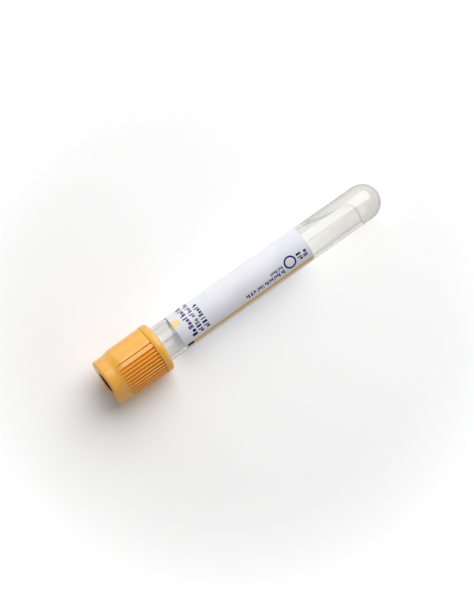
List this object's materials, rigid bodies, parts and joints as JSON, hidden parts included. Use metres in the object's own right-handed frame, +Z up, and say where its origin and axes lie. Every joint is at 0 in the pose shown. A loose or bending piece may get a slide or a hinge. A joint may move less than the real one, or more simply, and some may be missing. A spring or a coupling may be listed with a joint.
{
  "type": "blood collection tube",
  "caption": "Clear round-bottomed blood collection tube with separator gel, a wrap-round label, and a rubber stopper in a ribbed pull-off shield.",
  "frame": {"origin": "on the surface that the tube lies on, under the middle of its length", "axes": "+X along the tube from the closure to the round end, +Z up"},
  "size_m": [0.1086, 0.0174, 0.0177],
  "materials": {
    "gold_plastic": "satin",
    "rubber": "matte",
    "clear_plastic": "gloss",
    "label_paper": "matte",
    "gel": "gloss"
  },
  "bodies": {
    "filled_tube": {"tube": "clear_plastic", "label": "label_paper", "separator_gel": "gel"},
    "closure": {"shield": "gold_plastic", "stopper": "rubber"}
  },
  "joints": [
    {"name": "closure_pull", "type": "slide", "parent": "filled_tube", "child": "closure", "axis": [-0.9995, 0, 0.0319], "range_m": [0, 0.03]}
  ]
}
